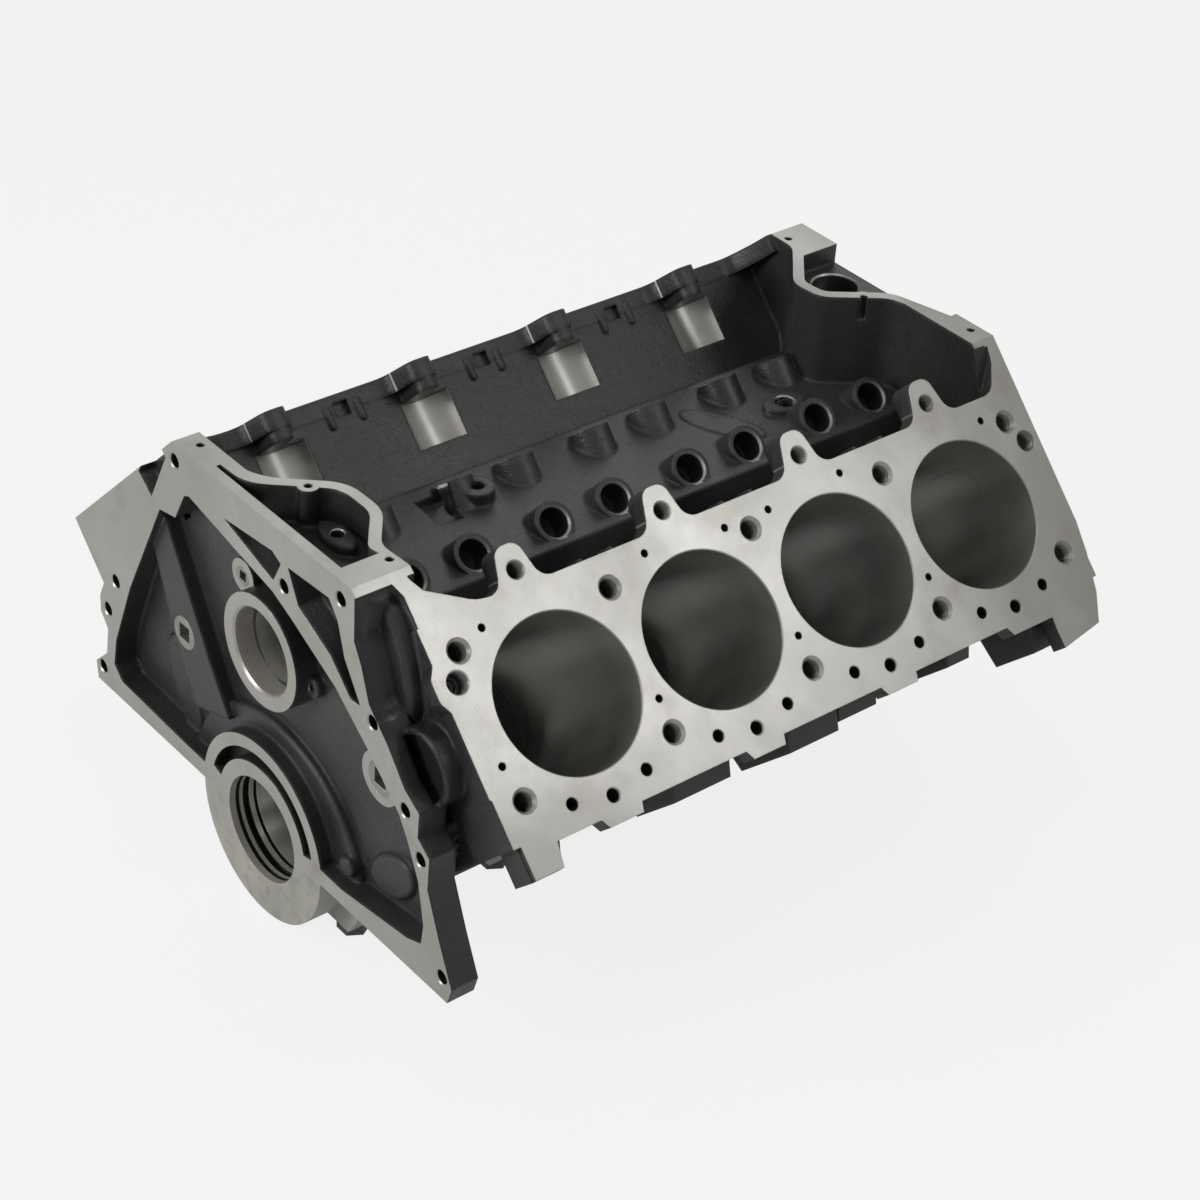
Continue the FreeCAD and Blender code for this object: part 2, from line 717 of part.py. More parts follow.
def check(things):
    """Stops if a step failed or a piece has no sound solid."""
    for thing in doc.Objects:
        if "Invalid" in thing.State or "Error" in thing.State:
            raise RuntimeError("%s failed: %s" % (thing.Name, thing.State))
    for name, thing in things.items():
        shape = thing.Shape
        if shape.isNull() or not shape.isValid() or not shape.Solids:
            raise RuntimeError("%s has no sound solid" % name)
        print("%-24s solids %d  volume %.1f cm3" % (name, len(shape.Solids), shape.Volume / 1000))


def main():
    pieces = {"cylinder_block": cylinder_block()}
    for n in range(1, 6):
        pieces["main_cap_%d" % n] = main_cap(n)
        pieces["main_bolts_%d" % n] = main_bolts(n)
    for name, x, z, face, diameter in GALLERY_PLUGS:
        pieces[name] = gallery_plug(name, x, z, face, diameter)
    for side in (NEAR, FAR):
        for n, frame in enumerate(core_plug_spots(side), 1):
            name = "core_plug_%s_%d" % (word(side), n)
            pieces[name] = core_plug(name, frame)
    doc.recompute()
    check(pieces)
    os.makedirs("parts", exist_ok=True)
    for name, thing in pieces.items():
        thing.Label = name
        thing.Shape.exportStep("parts/%s.step" % name)


main()
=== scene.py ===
import math

import bpy
from mathutils import Matrix, Vector


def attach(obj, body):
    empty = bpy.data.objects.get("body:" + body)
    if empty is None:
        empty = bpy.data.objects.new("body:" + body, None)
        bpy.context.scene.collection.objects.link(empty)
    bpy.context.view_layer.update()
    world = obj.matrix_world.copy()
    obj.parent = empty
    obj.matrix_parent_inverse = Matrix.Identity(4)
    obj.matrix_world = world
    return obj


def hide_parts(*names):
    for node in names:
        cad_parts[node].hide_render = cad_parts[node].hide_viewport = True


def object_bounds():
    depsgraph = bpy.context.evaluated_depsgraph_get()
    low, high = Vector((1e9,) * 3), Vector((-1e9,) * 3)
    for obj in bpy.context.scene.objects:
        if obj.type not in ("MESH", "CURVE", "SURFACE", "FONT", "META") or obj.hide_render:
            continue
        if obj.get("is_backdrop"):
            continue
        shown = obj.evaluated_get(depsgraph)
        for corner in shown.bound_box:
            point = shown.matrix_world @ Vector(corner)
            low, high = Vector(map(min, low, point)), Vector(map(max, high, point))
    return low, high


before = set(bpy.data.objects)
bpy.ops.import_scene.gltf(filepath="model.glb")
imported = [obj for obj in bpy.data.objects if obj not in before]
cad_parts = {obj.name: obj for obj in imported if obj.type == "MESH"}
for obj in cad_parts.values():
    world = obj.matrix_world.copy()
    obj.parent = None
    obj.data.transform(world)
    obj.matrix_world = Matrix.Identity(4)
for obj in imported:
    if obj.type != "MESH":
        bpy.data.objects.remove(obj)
CAD_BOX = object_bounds()

MM = 0.001
DIAGONAL = math.sqrt(0.5)
NEAR = 1
FAR = -1

# Sizes of the block that the CAD model was built with, in millimetres. Bores and holes are given
# by their radius. DECK, RAIL, the shelves and VALLEY_FLOOR are heights over the crankshaft's axis,
# RECESS_FLOOR and END_WALL are depths behind the bell housing face. Two lifters stand at each bore,
# LIFTER_STEPS from it along the block; they lean by LIFTER_LEAN degrees and their bosses end
# LIFTER_TOP from the camshaft's axis. BOLT_ROWS are the head bolts' rows, outwards on the deck.
DECK = 261.6
PITCH = 124.46
LENGTH = 574.0
RAIL = 266.0
BORE = 55.0
MAIN_BORE = 40.55
CAM_HEIGHT = 153.9
CAM_BORE = 28.5
CAM_SEAT = 31.8
LIFTER_BORE = 11.1
LIFTER_STEPS = (-22.0, 32.5)
LIFTER_LEAN = 41.5
LIFTER_TOP = 62.0
BOLT_HOLE = 6.8
BOLT_ROWS = (-52.4, 51.7)
FIRST_BORE = {NEAR: 115.2, FAR: 86.2}
VALLEY_FLOOR = 192.0
RECESS_FLOOR = 19.0
END_WALL = 31.0
REAR_SHELF = 238.0
FRONT_SHELF = 250.0

# How a direction is told from the faces of a solid, and a flat face from its height
ALONG = 0.99
UP = 0.9
FLAT = 0.2

# Numbers of the finishes in MATERIALS
CAST, MACHINED, BORED, THREADED, BARE, TURNED = range(6)


# Shader graphs

class Value:
    """A number in a shader graph, so that shader maths reads like plain maths."""

    def __init__(self, graph, socket):
        self.graph = graph
        self.socket = socket

    def math(self, operation, *inputs):
        return self.graph.math(operation, *inputs)

    def __add__(self, other):
        return self.math("ADD", self, other)

    def __radd__(self, other):
        return self.math("ADD", other, self)

    def __sub__(self, other):
        return self.math("SUBTRACT", self, other)

    def __rsub__(self, other):
        return self.math("SUBTRACT", other, self)

    def __mul__(self, other):
        return self.math("MULTIPLY", self, other)

    def __rmul__(self, other):
        return self.math("MULTIPLY", other, self)

    def __truediv__(self, other):
        return self.math("DIVIDE", self, other)

    def __rtruediv__(self, other):
        return self.math("DIVIDE", other, self)

    def __pow__(self, other):
        return self.math("POWER", self, other)


class Graph:
    """The nodes of one material, or of the world."""

    def __init__(self, owner, shader, end):
        owner.use_nodes = True
        self.owner = owner
        self.tree = owner.node_tree
        self.shader = self.tree.nodes[shader]
        self.end = self.tree.nodes[end]
        self.place = None

    def put(self, socket, value):
        """Links the value to the socket, or sets it there if it is a constant."""
        if isinstance(value, Value):
            self.tree.links.new(value.socket, socket)
        elif isinstance(value, bpy.types.NodeSocket):
            self.tree.links.new(value, socket)
        else:
            socket.default_value = value

    def node(self, kind, settings=None, output=0, **inputs):
        """Adds a node; an input's name is written with _ for its spaces, or as n0, n1 by number."""
        made = self.tree.nodes.new(kind)
        for key, value in (settings or {}).items():
            setattr(made, key, value)
        for key, value in inputs.items():
            numbered = key[0] == "n" and key[1:].isdigit()
            self.put(made.inputs[int(key[1:]) if numbered else key.replace("_", " ")], value)
        return made.outputs[output]

    def math(self, operation, *inputs):
        """One Math node."""
        numbered = {"n%d" % number: value for number, value in enumerate(inputs)}
        return Value(self, self.node("ShaderNodeMath", {"operation": operation}, **numbered))

    def noise(self, scale, detail=3.0, roughness=0.55, place=None, distortion=0.0):
        """Noise texture's value, on Object coordinates unless a place is given."""
        socket = self.node("ShaderNodeTexNoise", Vector=place or self.place, Scale=scale,
                           Detail=detail, Roughness=roughness, Distortion=distortion)
        return Value(self, socket)

    def spread(self, value, low, high, first=0.0, last=1.0):
        """The value's range from low to high, spread over first to last and kept inside it."""
        socket = self.node("ShaderNodeMapRange", {"clamp": True},
                           n0=value, n1=low, n2=high, n3=first, n4=last)
        return Value(self, socket)

    def mix(self, factor, first, second):
        """Mix of two colours."""
        return self.node("ShaderNodeMix", {"data_type": "RGBA"}, output=2,
                         n0=factor, n6=first, n7=second)

    def axes(self):
        """The place's x, y and z in millimetres."""
        made = self.node("ShaderNodeSeparateXYZ", Vector=self.place).node
        return [Value(self, made.outputs[n]) * (1.0 / MM) for n in range(3)]

    def rounded(self, radius):
        """Normal with the edges rounded off."""
        return self.node("ShaderNodeBevel", {"samples": 4}, Radius=radius * MM)

    def worn(self, radius):
        """0 on flat faces, up to 1 on sharp edges."""
        flat = self.node("ShaderNodeNewGeometry", output="Normal")
        dot = self.node("ShaderNodeVectorMath", {"operation": "DOT_PRODUCT"}, output="Value",
                        n0=self.rounded(radius), n1=flat)
        return self.spread(Value(self, dot), 0.995, 0.8)

    def bump(self, height, distance, normal=None):
        """Normal of a surface with the height's relief, its distance in millimetres."""
        extra = {"Normal": normal} if normal else {}
        return self.node("ShaderNodeBump", Height=height, Distance=distance * MM, Strength=1.0,
                         **extra)

    def seen_by_camera(self, share):
        """1 for what the camera sees and the share for what shiny surfaces see, otherwise 0."""
        path = self.node("ShaderNodeLightPath").node
        shiny = Value(self, path.outputs["Is Glossy Ray"]) * share
        return self.math("MAXIMUM", path.outputs["Is Camera Ray"], shiny)

    def cover(self, factor, top):
        """Puts another shader over the first one by the factor."""
        both = self.node("ShaderNodeMixShader", n0=factor, n1=self.shader.outputs[0], n2=top)
        self.put(self.end.inputs["Surface"], both)

    def finish(self, **inputs):
        """Sets the shader's inputs, _ standing for their spaces; gives the material back."""
        for key, value in inputs.items():
            self.put(self.shader.inputs[key.replace("_", " ")], value)
        return self.owner


def material_graph(name):
    """Graph of a new material, with Object coordinates as its place."""
    g = Graph(bpy.data.materials.new(name), "Principled BSDF", "Material Output")
    g.place = g.node("ShaderNodeTexCoord", output="Object")
    return g


def cast_iron(name, dark, light, gloss):
    """Sand-cast iron under a thin dark paint: fine grain, soft lumps, edges rubbed lighter."""
    g = material_graph(name)
    grains = g.noise(420.0, 5.0, 0.66)
    lumps = g.noise(60.0, 3.0, 0.5)
    clouds = g.noise(9.0, 4.0, 0.55)
    pits = g.spread(g.noise(240.0, 2.0, 0.5), 0.60, 0.74)
    edge = g.worn(1.6) * g.spread(g.noise(70.0, 3.0), 0.42, 0.66)
    tone = g.spread(clouds + (grains - 0.5) * 0.5, 0.32, 0.68)
    base = g.mix(tone, dark, light)
    base = g.mix(edge * 0.45, base, (0.16, 0.16, 0.155, 1.0))
    base = g.mix(pits * 0.35, base, (0.018, 0.018, 0.018, 1.0))
    height = grains * 0.55 + lumps * 1.1 - pits * 0.3
    normal = g.bump(height, 0.55, g.rounded(4.0))
    rough = g.spread(clouds, 0.3, 0.7, gloss - 0.07, gloss + 0.08)
    return g.finish(Base_Color=base, Metallic=0.0, Roughness=rough, Normal=normal)


def machined_iron(name, bright):
    """Milled iron: warm grey, fine curved cutter marks, faint stains, and painted shade that
    darkens it towards the front end.
    """
    g = material_graph(name)
    x, y, z = g.axes()
    # the cutter's marks are arcs round a point 900 mm behind the block
    swing = y + 900.0
    run = ((x * x + swing * swing) ** 0.5) * 2.6
    marks = g.math("SINE", run + (z - 150.0) * 0.9)
    scratches = g.noise(260.0, 3.0, 0.6)
    clouds = g.noise(7.0, 4.0, 0.6, distortion=0.4)
    stains = g.spread(g.noise(24.0, 4.0, 0.65), 0.52, 0.74)
    tone = g.spread(clouds, 0.34, 0.66)
    base = g.mix(tone, (bright, bright * 0.98, bright * 0.93, 1.0),
                 (bright * 0.82, bright * 0.80, bright * 0.74, 1.0))
    base = g.mix(stains * 0.5, base, (bright * 0.62, bright * 0.58, bright * 0.50, 1.0))
    # painted shade: darker towards the front end, standing in for the light that falls off along
    # the deck
    front_shade = g.spread(clouds + (y - 420.0) / 420.0, 0.42, 0.85)
    base = g.mix(front_shade * 0.5, base, (bright * 0.42, bright * 0.40, bright * 0.36, 1.0))
    edge = g.worn(0.7)
    base = g.mix(edge * 0.35, base, (0.9, 0.9, 0.88, 1.0))
    height = marks * 0.35 + scratches * 0.5
    normal = g.bump(height, 0.02, g.rounded(0.7))
    rough = g.spread(clouds + (scratches - 0.5) * 0.3, 0.3, 0.7, 0.32, 0.42)
    return g.finish(Base_Color=base, Metallic=0.74, Roughness=rough, Normal=normal)


def bored_iron(name):
    """Cylinder walls: darker, smooth, with the fine cross-hatch of honing."""
    g = material_graph(name)
    x, y, z = g.axes()
    side = g.math("SIGN", x)
    out = g.math("ABSOLUTE", x)
    depth = (out + z) * DIAGONAL
    across = (out - z) * DIAGONAL
    middle = (FIRST_BORE[NEAR] + FIRST_BORE[FAR]) / 2
    stagger = (FIRST_BORE[NEAR] - FIRST_BORE[FAR]) / 2
    along = g.math("WRAP", y - (side * stagger + middle), -PITCH / 2, PITCH / 2)
    turn = g.math("ARCTAN2", across, along) * BORE
    hatch = g.math("SINE", (turn + depth * 0.6) * 3.1) + g.math("SINE", (turn - depth * 0.6) * 3.1)
    bands = g.noise(14.0, 3.0, 0.5)
    base = g.mix(g.spread(bands, 0.35, 0.65), (0.36, 0.364, 0.342, 1.0), (0.52, 0.525, 0.49, 1.0))
    normal = g.bump(hatch, 0.006)
    rough = g.spread(bands, 0.3, 0.7, 0.30, 0.42)
    return g.finish(Base_Color=base, Metallic=0.75, Roughness=rough, Normal=normal)


def turned_iron(name):
    """Walls of the crankshaft's and camshaft's bores: bright, with rings from the boring bar, and
    painted shade deeper in.
    """
    g = material_graph(name)
    y = g.axes()[1]
    rings = g.noise(1.0, 4.0, 0.7, place=g.node("ShaderNodeCombineXYZ", X=y * 1.7))
    grime = g.spread(g.noise(30.0, 3.0, 0.6), 0.5, 0.75)
    base = g.mix(g.spread(rings, 0.38, 0.62), (0.88, 0.86, 0.79, 1.0), (0.40, 0.38, 0.33, 1.0))
    base = g.mix(grime * 0.35, base, (0.26, 0.24, 0.20, 1.0))
    # painted shade: the bore's wall darkens from 20 to 48 mm in from the bell housing face
    deep_shade = g.spread(y, 20.0, 48.0)
    base = g.mix(deep_shade * 0.8, base, (0.08, 0.077, 0.068, 1.0))
    normal = g.bump(rings, 0.05)
    rough = g.spread(rings, 0.3, 0.7, 0.26, 0.42)
    return g.finish(Base_Color=base, Metallic=0.55, Roughness=rough, Normal=normal)


def threaded_iron(name):
    """Walls of drilled and tapped holes: a painted highlight at a deck's mouth and painted shade
    below it, with ridges.
    """
    g = material_graph(name)
    x, _, z = g.axes()
    depth = (g.math("ABSOLUTE", x) + z) * DIAGONAL
    ridges = g.math("SINE", depth * 3.6)
    blotches = g.noise(160.0, 3.0)
    # painted highlight on the thread crests and painted shade in their roots
    crests = g.spread(ridges, -0.6, 0.8)
    base = g.mix(crests, (0.28, 0.275, 0.26, 1.0), (0.85, 0.84, 0.81, 1.0))
    # painted shade below the mouth: the wall darkens from 1.5 to 7.5 mm under the deck, leaving a
    # painted highlight at the mouth
    painted_hole_shade = g.spread(depth + blotches * 6.0, DECK - 1.5, DECK - 7.5)
    base = g.mix(painted_hole_shade * 0.93, base, (0.05, 0.049, 0.046, 1.0))
    normal = g.bump(ridges, 0.35)
    rough = g.spread(blotches, 0.3, 0.7, 0.28, 0.4)
    return g.finish(Base_Color=base, Metallic=0.85, Roughness=rough, Normal=normal)


def bare_casting(name, tone, gloss=0.5, shine=0.35):
    """Unpainted iron or steel, dulled by storage."""
    g = material_graph(name)
    grains = g.noise(520.0, 4.0, 0.6)
    clouds = g.noise(16.0, 4.0, 0.6)
    marks = g.spread(g.noise(90.0, 3.0), 0.5, 0.72)
    dark = tuple(part * 0.72 for part in tone) + (1.0,)
    base = g.mix(g.spread(clouds, 0.32, 0.68), dark, tuple(tone) + (1.0,))
    base = g.mix(marks * 0.3, base, (0.13, 0.12, 0.10, 1.0))
    base = g.mix(g.worn(1.0) * 0.5, base, (0.62, 0.61, 0.58, 1.0))
    normal = g.bump(grains * 0.6 + clouds * 0.6, 0.16, g.rounded(1.2))
    rough = g.spread(clouds, 0.3, 0.7, gloss - 0.06, gloss + 0.08)
    return g.finish(Base_Color=base, Metallic=shine, Roughness=rough, Normal=normal)


MATERIALS = [
    cast_iron("painted cast iron", (0.017, 0.0205, 0.0195, 1.0), (0.044, 0.051, 0.048, 1.0), 0.36),
    machined_iron("machined iron", 0.50),
    bored_iron("honed iron"),
    threaded_iron("tapped iron"),
    bare_casting("bare cast iron", (0.50, 0.49, 0.45)),
    turned_iron("line bored iron"),
]


# Frames to place things on the block with, in millimetres

def place(side, u, v, h=DECK):
    """Frame on a bank's deck: u along the crankshaft, v outwards, z along the bores."""
    out = Vector((side * DIAGONAL, 0, DIAGONAL))
    low = Vector((side * DIAGONAL, 0, -DIAGONAL))
    along = out.cross(low)
    turn = Matrix((low, along, out)).transposed().to_4x4()
    return Matrix.Translation((out * h + low * v + Vector((0, u, 0))) * MM) @ turn


def upward(x, y, z):
    """Frame whose z axis points up."""
    return Matrix.Translation(Vector((x, y, z)) * MM)


def lifter(side, y):
    """Frame on top of a lifter boss: its z axis is the lifter's bore."""
    lean = Matrix.Rotation(side * math.radians(LIFTER_LEAN), 4, "Y")
    return upward(0.0, y, CAM_HEIGHT) @ lean @ upward(0.0, 0.0, LIFTER_TOP)


def rearward(x, z, y=0.0):
    """Frame whose z axis points out of the bell housing face."""
    return upward(x, y, z) @ Matrix.Rotation(math.pi / 2, 4, "X")


def turned(where, degrees):
    """The frame turned about its own z axis."""
    return where @ Matrix.Rotation(math.radians(degrees), 4, "Z")


# Modelling in edit mode

def clear():
    """Nothing selected and object mode, ready for the next primitive."""
    if bpy.context.object and bpy.context.object.mode != "OBJECT":
        bpy.ops.object.mode_set(mode="OBJECT")
    bpy.ops.object.select_all(action="DESELECT")


def pick(piece):
    """Only the piece selected, and active."""
    clear()
    piece.select_set(True)
    bpy.context.view_layer.objects.active = piece


def edit_faces(piece, chosen):
    """Enters edit mode with only the faces selected that chosen(face) picks."""
    pick(piece)
    for face in piece.data.polygons:
        face.select = chosen(face)
    for edge in piece.data.edges:
        edge.select = False
    for point in piece.data.vertices:
        point.select = False
    for face in piece.data.polygons:
        if face.select:
            for number in face.vertices:
                piece.data.vertices[number].select = True
    bpy.ops.object.mode_set(mode="EDIT")
    bpy.ops.mesh.select_mode(type="FACE")


def finished(piece, finish):
    """The piece back in object mode, with one finish on all its faces."""
    clear()
    for face in piece.data.polygons:
        face.material_index = finish
    return piece


def round_bar(name, radius, low, high, corners):
    """Cylinder along z between two heights, in millimetres, open for shaping."""
    clear()
    low, high = low * MM, high * MM
    bpy.ops.mesh.primitive_cylinder_add(vertices=corners, radius=radius * MM, depth=high - low,
                                        location=(0, 0, (high + low) / 2))
    piece = bpy.context.object
    bpy.ops.object.transform_apply(location=True, rotation=True, scale=True)
    piece.name = name
    return piece


# How far a drill's or countersink's cone reaches out of the mouth, so that no faces coincide
OUT_OF_MOUTH = 0.6
# Height of a drill point by its radius, and how much of the radius is left at its tip
POINT_HEIGHT = 0.58
POINT_TIP = 0.02
# Holes from this diameter up are tapped, the smaller ones keep the painted look inside
SMALLEST_THREAD = 9.5


def drill(diameter, depth, chamfer, corners=28):
    """Solid of a drilled hole, mouth at z = 0: chamfer, straight wall, drill point below."""
    radius = diameter / 2
    piece = round_bar("drill", radius, -depth, -chamfer, corners)
    edit_faces(piece, lambda face: face.normal.z > UP)
    grow = chamfer + OUT_OF_MOUTH
    wider = (radius + grow) / radius
    bpy.ops.mesh.extrude_region_move(TRANSFORM_OT_translate={"value": (0, 0, grow * MM)})
    bpy.ops.transform.resize(value=(wider, wider, 1))
    edit_faces(piece, lambda face: face.normal.z < -UP)
    point = -radius * POINT_HEIGHT * MM
    bpy.ops.mesh.extrude_region_move(TRANSFORM_OT_translate={"value": (0, 0, point)})
    bpy.ops.transform.resize(value=(POINT_TIP, POINT_TIP, 1))
    clear()
    inside = THREADED if diameter > SMALLEST_THREAD else CAST
    for face in piece.data.polygons:
        face.material_index = inside if face.center.z < -chamfer * MM else MACHINED
    return piece


def cup(radius, depth):
    """Solid of a shallow round cup with a soft floor edge, mouth at z = 0."""
    piece = round_bar("cup", radius, -depth, 3.0, 56)
    edit_faces(piece, lambda face: face.normal.z < -UP)
    bpy.ops.mesh.region_to_loop()
    bpy.ops.mesh.bevel(offset=depth * 0.7 * MM, segments=4, affect="EDGES")
    return finished(piece, CAST)


def countersink(radius, chamfer, corners=42):
    """Solid that breaks the edge of a hole that is already there, mouth at z = 0."""
    painted_hole_shade = radius - 2.0
    piece = round_bar("countersink", painted_hole_shade, -(chamfer + 2.0), 0.0, corners)
    edit_faces(piece, lambda face: face.normal.z > UP)
    wide = radius + chamfer
    bpy.ops.transform.resize(value=(wide / painted_hole_shade, wide / painted_hole_shade, 1))
    out = (wide + OUT_OF_MOUTH) / wide
    bpy.ops.mesh.extrude_region_move(TRANSFORM_OT_translate={"value": (0, 0, OUT_OF_MOUTH * MM)})
    bpy.ops.transform.resize(value=(out, out, 1))
    return finished(piece, MACHINED)


def boss(half_x, half_y, low, high, soft, corners):
    """Oval cast boss with a rounded rim, from its foot at low, inside the wall, to its top."""
    piece = round_bar("boss", 1.0 / MM, low, high, corners)
    pick(piece)
    piece.scale = (half_x * MM, half_y * MM, 1)
    bpy.ops.object.transform_apply(location=False, rotation=False, scale=True)
    edit_faces(piece, lambda face: face.normal.z > UP)
    bpy.ops.mesh.region_to_loop()
    bpy.ops.mesh.bevel(offset=soft * MM, segments=3, affect="EDGES")
    return finished(piece, CAST)


def block(low, high, soft):
    """Cast pad between two corners with rounded edges."""
    clear()
    middle = [(a + b) / 2 * MM for a, b in zip(low, high)]
    bpy.ops.mesh.primitive_cube_add(size=1.0, location=middle)
    piece = bpy.context.object
    piece.scale = [(b - a) * MM for a, b in zip(low, high)]
    bpy.ops.object.transform_apply(location=True, rotation=True, scale=True)
    edit_faces(piece, lambda face: True)
    bpy.ops.mesh.select_all(action="SELECT")
    bpy.ops.mesh.bevel(offset=soft * MM, segments=3, affect="EDGES")
    return finished(piece, CAST)


def copies(piece, places):
    """One copy of the piece, with its own mesh, at each place; the pattern itself is removed."""
    made = []
    for where in places:
        copy = piece.copy()
        copy.data = piece.data.copy()
        copy.data.transform(where)
        bpy.context.scene.collection.objects.link(copy)
        made.append(copy)
    bpy.data.objects.remove(piece)
    return made


def joined(name, pieces):
    """The pieces as one object with all the finishes, whose numbers the faces keep."""
    clear()
    for piece in pieces:
        piece.select_set(True)
        for material in MATERIALS:
            piece.data.materials.append(material)
    bpy.context.view_layer.objects.active = pieces[0]
    if len(pieces) > 1:
        bpy.ops.object.join()
    result = bpy.context.object
    result.name = name
    return result


def carve(body, tool, operation):
    """Cuts the tool away from the body or joins it on, and removes the tool."""
    modifier = body.modifiers.new(operation.lower(), "BOOLEAN")
    modifier.operation = operation
    modifier.solver = "EXACT"
    modifier.object = tool
    pick(body)
    bpy.ops.object.modifier_apply(modifier=modifier.name)
    bpy.data.objects.remove(tool)


# The casting's finishes

def on_round(points, centre, radius):
    """Whether all the points lie on a round wall, seen along its axis, to 0.7 mm."""
    return all(abs(math.hypot(a - centre[0], b - centre[1]) - radius) < 0.7 for a, b in points)


def finish_of(points, normal):
    """Which finish a face of the CAD casting has, by its corners and the way it points."""
    side = NEAR if sum(point.x for point in points) > 0 else FAR
    height = [(side * point.x + point.z) * DIAGONAL for point in points]
    across = [(side * point.x - point.z) * DIAGONAL for point in points]
    out = (side * normal.x + normal.z) * DIAGONAL
    along = [point.y - FIRST_BORE[side] for point in points]
    x, y, z = (sum(part) / len(points) for part in zip(*points))
    # tops of the three plug bosses, which end at different depths
    on_plug_boss = 6.8 < y < 11.2 and (x < -140 or x > 108 or z > 177)
    flat = {
        "deck": out > ALONG and all(abs(h - DECK) < FLAT for h in height),
        "rails": normal.z > ALONG and abs(z - RAIL) < FLAT,
        "pan rail": normal.z < -ALONG and abs(z) < FLAT,
        "bell face": normal.y < -ALONG and abs(y) < FLAT,
        "timing face": normal.y > ALONG and abs(y - LENGTH) < FLAT,
        "plug bosses": normal.y < -ALONG and on_plug_boss,
    }
    if any(flat.values()):
        return MACHINED
    section = [(point.x, point.z) for point in points]
    bores = (((0, 0), MAIN_BORE), ((0, CAM_HEIGHT), CAM_BORE), ((0, CAM_HEIGHT), CAM_SEAT))
    if any(on_round(section, centre, radius) for centre, radius in bores):
        return TURNED
    # walls of the holes that stand square to the deck
    if min(height) > 80 and abs(out) < 0.3:
        seen = list(zip(along, across))
        for k in range(4):
            if on_round(seen, (k * PITCH, 0.0), BORE):
                return BORED
            # the relief cut under a head bolt's tab
            if on_round(seen, (k * PITCH + 9.0, -87.0), 24.0):
                return MACHINED
        for k in range(5):
            for row in BOLT_ROWS:
                if on_round(seen, ((k - 0.5) * PITCH, row), BOLT_HOLE):
                    return THREADED
    return CAST


def corners_of(piece, face):
    """The face's corners in millimetres."""
    return [piece.data.vertices[number].co / MM for number in face.vertices]


def bare_copy(node, name):
    """Own copy of a CAD node's mesh, its loose triangles merged, with all the finishes."""
    clear()
    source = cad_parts[node]
    piece = source.copy()
    piece.data = source.data.copy()
    piece.parent = None
    for key in list(piece.keys()):
        del piece[key]
    bpy.context.scene.collection.objects.link(piece)
    piece.name = name
    pick(piece)
    bpy.ops.object.mode_set(mode="EDIT")
    bpy.ops.mesh.select_all(action="SELECT")
    bpy.ops.mesh.remove_doubles(threshold=0.01 * MM)
    bpy.ops.mesh.normals_make_consistent(inside=False)
    bpy.ops.mesh.customdata_custom_splitnormals_clear()
    bpy.ops.object.mode_set(mode="OBJECT")
    piece.data.materials.clear()
    for material in MATERIALS:
        piece.data.materials.append(material)
    return piece


# The casting's added forms

# Where forms that carry a hole stand: x and z on the end walls, x and y in the valley
CORE_SEAT = (160.0, 151.0)
SMALL_BOSS = (44.0, 146.0)
SENSOR = (6.0, 465.0)
SHELF_BOSS = (24.0, 46.0)


def placed(bosses):
    """An oval boss for each row, which holds the sizes that boss takes and the wall's frame."""
    return [copies(boss(*sizes), [where])[0] for *sizes, where in bosses]


def cast_swells():
    """Broad cast forms that smaller ones stand on: the crank ring's swell and the core seat's."""
    around, seat = placed([
        (101.0, 87.0, -4.0, 7.0, 4.0, 64, rearward(0.0, 0.0, RECESS_FLOOR)),
        (28.0, 28.0, -6.0, 15.0, 2.5, 56, rearward(*CORE_SEAT, END_WALL)),
    ])
    # only the swell's upper half stands in the recess, outside the crankshaft's ring
    ring = copies(round_bar("ring", 68.0, -30.0, 30.0, 64), [rearward(0.0, 0.0)])[0]
    carve(around, ring, "DIFFERENCE")
    carve(around, block((-110.0, -5.0, -100.0), (110.0, 45.0, 6.0), 1.0), "DIFFERENCE")
    return [around, seat]


def cast_forms():
    """Cast bosses, swells and ridges that only the visual model has."""
    forms = placed([
        # bell housing face: two small bosses, two low pads
        (8.0, 8.0, -4.0, 8.0, 2.0, 24, rearward(*SMALL_BOSS, RECESS_FLOOR)),
        (8.0, 8.0, -4.0, 12.0, 3.0, 24, rearward(90.0, 24.0, RECESS_FLOOR)),
        (27.0, 17.0, -4.0, 5.0, 4.0, 40, turned(rearward(133.0, 42.0, RECESS_FLOOR), 35.0)),
        (15.0, 40.0, -4.0, 4.0, 3.5, 40, turned(rearward(-122.0, 44.0, RECESS_FLOOR), 24.0)),
        # end wall of the near bank: the water jacket's upright swell
        (21.0, 52.0, -6.0, 10.0, 9.0, 48, turned(rearward(116.0, 196.0, END_WALL), 14.0)),
    ])
    # pad of the same wall, which the ribs of pad_ribs cross
    forms.append(block((158.0, 11.0, 86.0), (181.0, 37.0, 113.0), 4.0))
    forms += placed([
        # valley: oval sensor boss, low pad, boss on the rear shelf
        (12.0, 19.0, -4.0, 5.0, 2.0, 40, upward(*SENSOR, VALLEY_FLOOR)),
        (34.0, 13.0, -2.0, 1.4, 0.8, 48, turned(upward(0.0, 409.0, VALLEY_FLOOR), 28.0)),
        (19.0, 9.5, -3.0, 8.0, 3.0, 40, upward(*SHELF_BOSS, REAR_SHELF)),
    ])
    # two ridges beside each core mark of the valley walls, between the tabs
    for side in (NEAR, FAR):
        for k in range(3):
            y = FIRST_BORE[side] + (k + 0.5) * PITCH + 5.0
            ridge = block((-3.0, -2.2, -8.5), (2.2, 2.2, 8.5), 1.4)
            forms += copies(ridge, [place(side, y + step, -75.0, 246.0) for step in (-13.0, 13.0)])
    return forms


